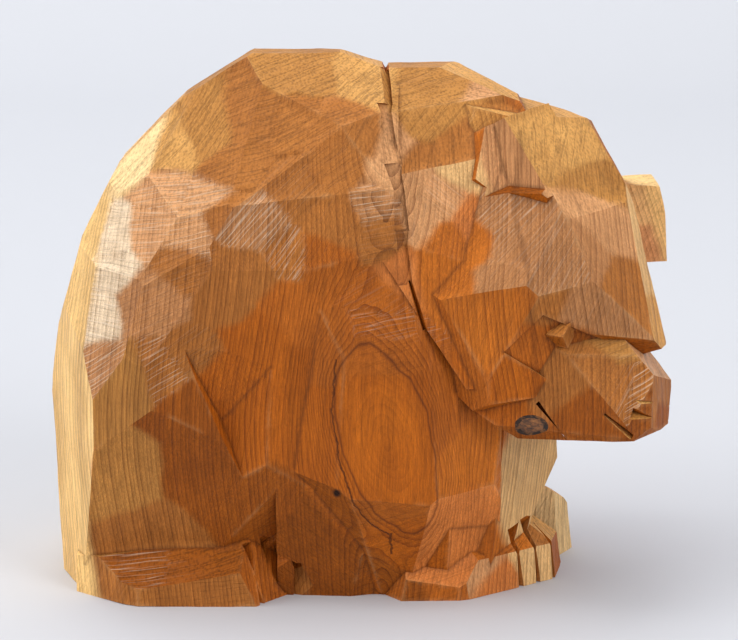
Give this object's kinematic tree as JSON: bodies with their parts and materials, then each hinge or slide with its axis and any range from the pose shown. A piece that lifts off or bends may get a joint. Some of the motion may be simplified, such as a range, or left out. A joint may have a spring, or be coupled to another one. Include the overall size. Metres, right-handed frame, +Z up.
{
  "type": "wooden figurine",
  "caption": "Chip-carved figurine of a crouching bear with its head turned to one side, cut from one block of wood, on a flat base.",
  "frame": {"origin": "middle of the bounding box, on the flat base", "axes": "+X the way the bear's body faces, +Y the bear's left side, +Z up"},
  "size_m": [0.172, 0.0959, 0.147],
  "materials": {
    "wood": "satin, knife-cut, oiled",
    "knot_wood": "satin, knife-cut",
    "bark": "matt, rough"
  },
  "bodies": {
    "root": {"carved_block": "wood", "jaw_knot": "knot_wood", "knot_bark": "bark"}
  },
  "joints": []
}
